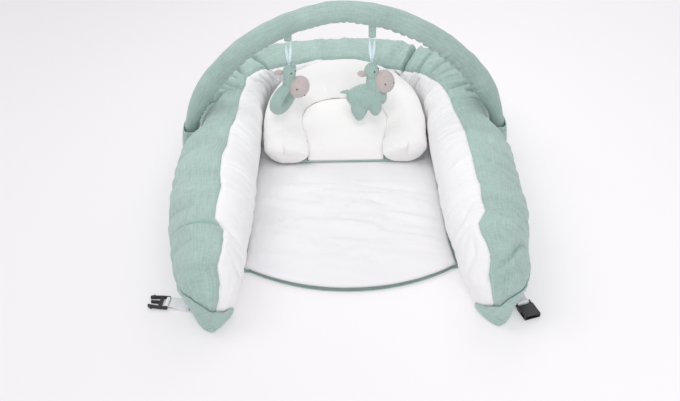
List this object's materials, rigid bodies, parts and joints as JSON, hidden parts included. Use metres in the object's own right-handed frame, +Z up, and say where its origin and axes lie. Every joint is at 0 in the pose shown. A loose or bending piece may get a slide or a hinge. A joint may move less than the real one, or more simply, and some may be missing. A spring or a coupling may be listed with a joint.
{
  "type": "infant lounger",
  "caption": "Free-standing infant lounger: U-shaped stuffed bolster open at the foot, thin padded mat, horseshoe head pillow, padded toy arch with two hanging soft toys, strap and buckle",
  "frame": {"origin": "On the floor at the resting face, midway between the bolster's legs and about midway along the lounger.", "axes": "+X to the right as the picture sees it, +Y from the open foot to the head end, +Z up."},
  "size_m": [0.6414, 0.7693, 0.3325],
  "materials": {
    "mint_linen": "matte",
    "white_cotton": "matte",
    "wadding": "matte",
    "mint_plush": "matte",
    "mauve_plush": "matte",
    "blue_ribbon": "satin",
    "black_bead": "gloss",
    "white_rod": "matte",
    "black_plastic": "satin",
    "white_webbing": "matte"
  },
  "bodies": {
    "lounger": {"base_panel": "mint_linen", "mat_wadding": "wadding", "mat_cover": "white_cotton", "mat_edge_binding": "mint_linen", "bolster_filling": "wadding", "bolster_outer_cover": "mint_linen", "bolster_inner_cover": "white_cotton", "bolster_end_left": "mint_linen", "bolster_end_right": "mint_linen", "arch_pocket_left": "mint_linen", "arch_pocket_right": "mint_linen", "strap_left": "white_webbing", "strap_right": "white_webbing"},
    "pillow": {"pillow_ring": "white_cotton", "pillow_centre": "white_cotton", "pillow_back": "mint_linen"},
    "arch": {"arch_rod": "white_rod", "arch_padding": "wadding", "arch_sleeve": "mint_linen", "toy_tab_left": "mint_linen", "toy_tab_right": "mint_linen"},
    "ribbon_left": {"toy_ribbon_left": "blue_ribbon"},
    "ribbon_right": {"toy_ribbon_right": "blue_ribbon"},
    "ring_toy": {"ring_toy_head": "mint_plush", "ring_toy_neck": "mint_plush", "ring_toy_muzzle": "mauve_plush", "ring_toy_ear_left": "mauve_plush", "ring_toy_ear_right": "mint_plush", "ring_toy_tuft": "mint_plush", "ring_toy_ring": "mint_plush", "ring_toy_eye_left": "black_bead", "ring_toy_eye_right": "black_bead", "ring_toy_nostril_left": "black_bead", "ring_toy_nostril_right": "black_bead"},
    "plush_animal": {"plush_body": "mint_plush", "plush_head": "mint_plush", "plush_neck": "mint_plush", "plush_muzzle": "mauve_plush", "plush_leg_hind_left": "mint_plush", "plush_leg_hind_right": "mint_plush", "plush_leg_front_left": "mint_plush", "plush_leg_front_right": "mint_plush", "plush_tail": "mint_plush", "plush_ear_left": "mauve_plush", "plush_ear_right": "mint_plush", "plush_horn_left": "mint_plush", "plush_horn_right": "mint_plush", "plush_eye_left": "black_bead", "plush_eye_right": "black_bead", "plush_nostril_left": "black_bead", "plush_nostril_right": "black_bead"},
    "buckle_male": {"buckle_male": "black_plastic"},
    "buckle_female": {"buckle_female": "black_plastic"}
  },
  "joints": [
    {"name": "pillow_slide", "type": "slide", "parent": "lounger", "child": "pillow", "axis": [0, -1, 0], "range_m": [0, 0.04]},
    {"name": "arch_tilt", "type": "hinge", "parent": "lounger", "child": "arch", "pos_m": [0, 0.084, 0.045], "axis": [1, 0, 0], "range_deg": [-12, 12]},
    {"name": "left_ribbon_swing", "type": "hinge", "parent": "arch", "child": "ribbon_left", "pos_m": [-0.103, 0.084, 0.25595], "axis": [1, 0, 0], "range_deg": [-25, 25]},
    {"name": "ring_toy_swing", "type": "hinge", "parent": "ribbon_left", "child": "ring_toy", "pos_m": [-0.103, 0.084, 0.209], "axis": [0, 1, 0], "range_deg": [-20, 20]},
    {"name": "right_ribbon_swing", "type": "hinge", "parent": "arch", "child": "ribbon_right", "pos_m": [0.048, 0.084, 0.26095], "axis": [1, 0, 0], "range_deg": [-25, 25]},
    {"name": "plush_swing", "type": "hinge", "parent": "ribbon_right", "child": "plush_animal", "pos_m": [0.048, 0.084, 0.211], "axis": [0, 1, 0], "range_deg": [-20, 20]},
    {"name": "male_buckle_lift", "type": "hinge", "parent": "lounger", "child": "buckle_male", "pos_m": [-0.299, -0.322, 0.0043], "axis": [0.1392, 0.9903, 0], "range_deg": [0, 75]},
    {"name": "female_buckle_lift", "type": "hinge", "parent": "lounger", "child": "buckle_female", "pos_m": [0.27, -0.34, 0.0043], "axis": [-0.9511, -0.309, 0], "range_deg": [0, 12]}
  ]
}
